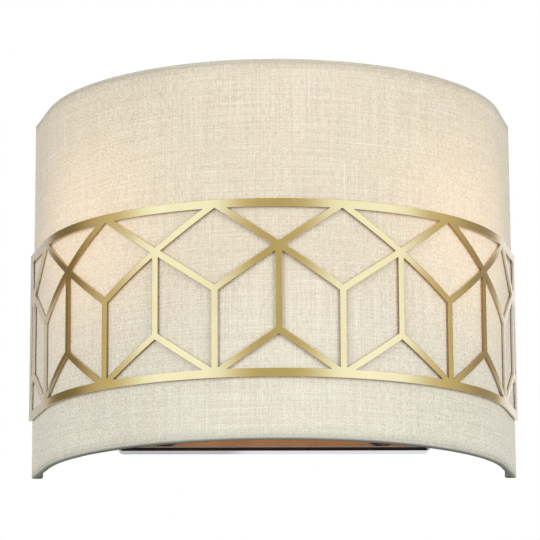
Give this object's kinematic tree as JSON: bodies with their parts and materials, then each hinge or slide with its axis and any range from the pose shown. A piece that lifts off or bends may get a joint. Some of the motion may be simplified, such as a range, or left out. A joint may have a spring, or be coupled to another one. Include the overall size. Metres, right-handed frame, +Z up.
{
  "type": "wall light",
  "caption": "Half-drum fabric wall light with an openwork metal band, a shallow wall tray, two lampholders and screw-in bulbs.",
  "frame": {"origin": "on the wall, midway between the two wall slots of the bracket, at the middle of the shade's height", "axes": "+X to the light's right seen from the room, +Y into the wall, +Z up"},
  "size_m": [0.2526, 0.1263, 0.188],
  "materials": {
    "galvanised_steel": "galvanised",
    "zinc_screws": "zinc plated",
    "white_paint": "satin powder coat",
    "polished_steel": "polished, plated",
    "black_rubber": "matt",
    "white_nylon": "natural",
    "plain_brass": "turned",
    "earth_insulation": "green and yellow",
    "frame_wire": "white coated steel",
    "white_liner": "smooth laminate",
    "linen": "plain weave linen, glued to its liner",
    "linen_rim": "rolled edge",
    "gold_sheet": "satin lacquered",
    "white_holder": "moulded",
    "nickel": "nickel plated",
    "solder": "tinned",
    "black_insulator": "glassy black",
    "bulb_white": "moulded",
    "opal_globe": "opal",
    "live_insulation": "brown",
    "neutral_insulation": "blue"
  },
  "bodies": {
    "lamp": {"wall_bracket": "galvanised_steel", "bracket_screws": "zinc_screws", "wall_tray": "polished_steel", "lead_grommets": "black_rubber", "terminal_block": "white_nylon", "terminal_clamps": "plain_brass", "terminal_screws": "zinc_screws", "block_screws": "zinc_screws", "earth_screw": "zinc_screws", "earth_washer": "zinc_screws", "earth_tag": "plain_brass", "earth_lead": "earth_insulation", "holder_bracket_rivets": "zinc_screws", "holder_nipples": "zinc_screws", "nipple_washers": "zinc_screws", "nipple_nuts": "zinc_screws", "top_ring": "frame_wire", "bottom_ring": "frame_wire", "top_carrier": "white_paint", "bottom_carrier": "white_paint", "shade_liner": "white_liner", "linen_cover": "linen", "top_rim": "linen_rim", "bottom_rim": "linen_rim", "shade_studs": "zinc_screws", "thumb_nuts": "plain_brass", "lattice_band": "gold_sheet", "band_rivets": "gold_sheet", "left_upright": "frame_wire", "left_end_wrap": "linen_rim", "left_holder_bracket": "galvanised_steel", "left_holder_base": "white_holder", "left_holder_skirt": "white_holder", "left_holder_shell": "nickel", "left_holder_contact": "plain_brass", "left_live_lead": "live_insulation", "left_neutral_lead": "neutral_insulation", "right_upright": "frame_wire", "right_end_wrap": "linen_rim", "right_holder_bracket": "galvanised_steel", "right_holder_base": "white_holder", "right_holder_skirt": "white_holder", "right_holder_shell": "nickel", "right_holder_contact": "plain_brass", "right_live_lead": "live_insulation", "right_neutral_lead": "neutral_insulation"},
    "left_bulb_foot": {"left_bulb_contact": "solder", "left_bulb_insulator": "black_insulator"},
    "left_bulb": {"left_bulb_cap": "nickel", "left_bulb_housing": "bulb_white", "left_bulb_board": "bulb_white", "left_bulb_globe": "opal_globe"},
    "right_bulb_foot": {"right_bulb_contact": "solder", "right_bulb_insulator": "black_insulator"},
    "right_bulb": {"right_bulb_cap": "nickel", "right_bulb_housing": "bulb_white", "right_bulb_board": "bulb_white", "right_bulb_globe": "opal_globe"}
  },
  "joints": [
    {"name": "left_bulb_lift", "type": "slide", "parent": "lamp", "child": "left_bulb_foot", "axis": [0, 0, 1], "range_m": [0, 0.0142]},
    {"name": "left_bulb_unscrew", "type": "hinge", "parent": "left_bulb_foot", "child": "left_bulb", "pos_m": [-0.06, -0.052, 0], "axis": [0, 0, 1], "range_deg": [0, 1800]},
    {"name": "right_bulb_lift", "type": "slide", "parent": "lamp", "child": "right_bulb_foot", "axis": [0, 0, 1], "range_m": [0, 0.0142]},
    {"name": "right_bulb_unscrew", "type": "hinge", "parent": "right_bulb_foot", "child": "right_bulb", "pos_m": [0.06, -0.052, 0], "axis": [0, 0, 1], "range_deg": [0, 1800]}
  ],
  "couplings": [
    {"joint": "left_bulb_lift", "follows": "left_bulb_unscrew", "m_per_rad": 0.00044914},
    {"joint": "right_bulb_lift", "follows": "right_bulb_unscrew", "m_per_rad": 0.00044914}
  ]
}
